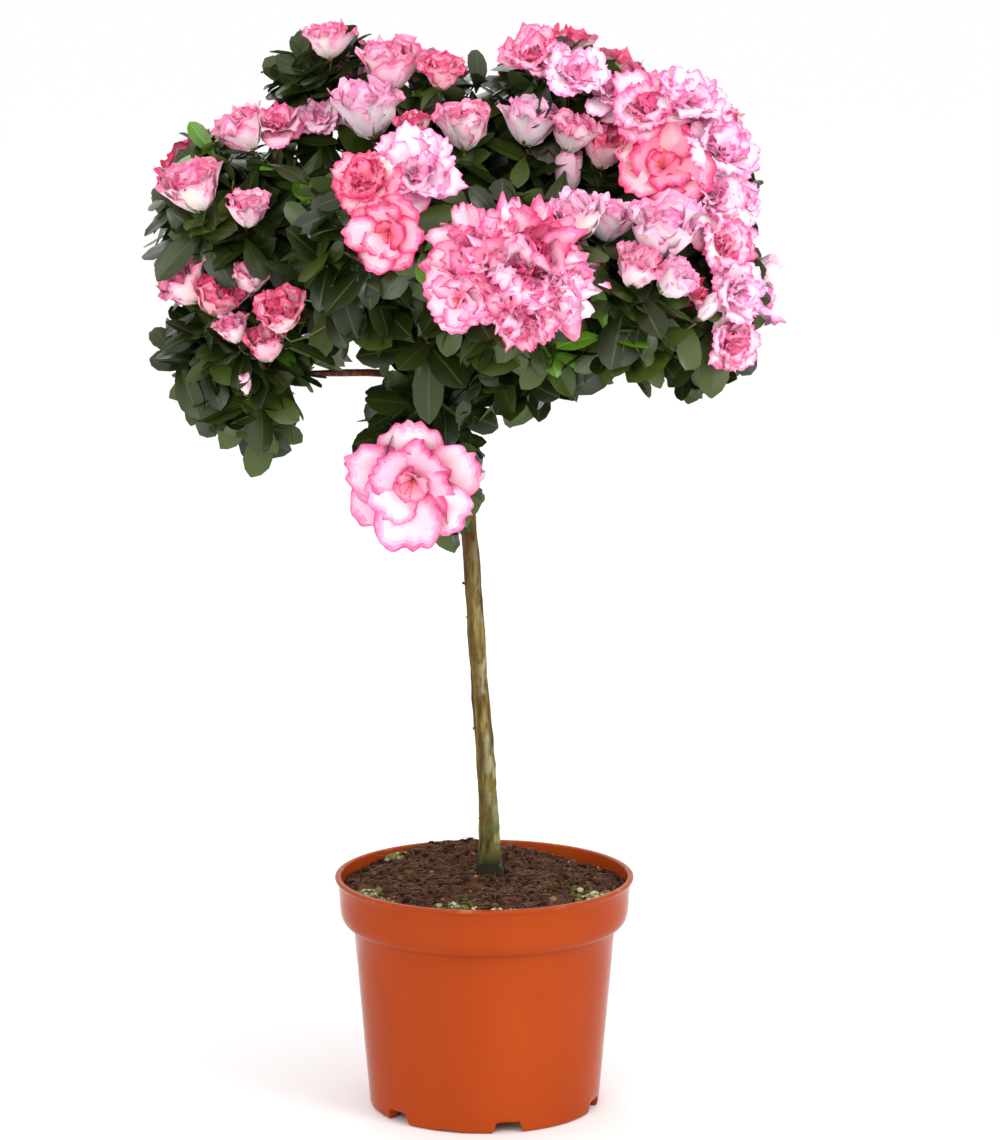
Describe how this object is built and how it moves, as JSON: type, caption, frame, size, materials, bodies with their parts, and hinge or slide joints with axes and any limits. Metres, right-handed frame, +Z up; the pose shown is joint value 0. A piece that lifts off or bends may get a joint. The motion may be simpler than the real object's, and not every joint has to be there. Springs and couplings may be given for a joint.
{
  "type": "potted standard azalea",
  "caption": "Azalea grown as a small tree: a bare trunk with a rounded crown of glossy leaves and ruffled double flowers, standing in a round plastic growing pot of peat.",
  "frame": {"origin": "centre of the pot's flat underside, on the pot's axis", "axes": "+Z up; +X to the right and -Y towards a viewer who faces the plant's best side"},
  "size_m": [0.3527, 0.3154, 0.6211],
  "materials": {
    "pot_plastic": "satin terracotta-orange moulded plastic",
    "peat": "moist, crumbly, dark brown",
    "trunk_bark": "rough olive-brown bark with lichen and moss",
    "bough_bark": "smooth reddish-brown young bark",
    "leafage": "glossy dark green leaves",
    "blossom": "soft pink and white ruffled petals"
  },
  "bodies": {
    "root": {"pot": "pot_plastic", "potting_soil": "peat", "trunk": "trunk_bark", "bough_left_low": "bough_bark", "bough_left_shoulder": "bough_bark", "bough_top_left": "bough_bark", "bough_leader": "bough_bark", "bough_front_left": "bough_bark", "bough_front_centre": "bough_bark", "bough_front_right": "bough_bark", "bough_right_low": "bough_bark", "bough_right_shoulder": "bough_bark", "bough_back_left": "bough_bark", "bough_back_centre": "bough_bark", "bough_back_right": "bough_bark", "bough_front_low": "bough_bark", "bough_hanging": "bough_bark", "foliage_left_low": "leafage", "foliage_left_shoulder": "leafage", "foliage_top_left": "leafage", "foliage_top_centre": "blossom", "foliage_top_right": "blossom", "foliage_right_shoulder": "blossom", "foliage_right_low": "blossom", "foliage_front_centre": "blossom", "foliage_front_left": "leafage", "foliage_front_right": "leafage", "foliage_front_low": "leafage", "foliage_hanging": "blossom", "foliage_back_left": "leafage", "foliage_back_centre": "leafage", "foliage_back_right": "leafage", "foliage_core": "leafage"}
  },
  "joints": []
}
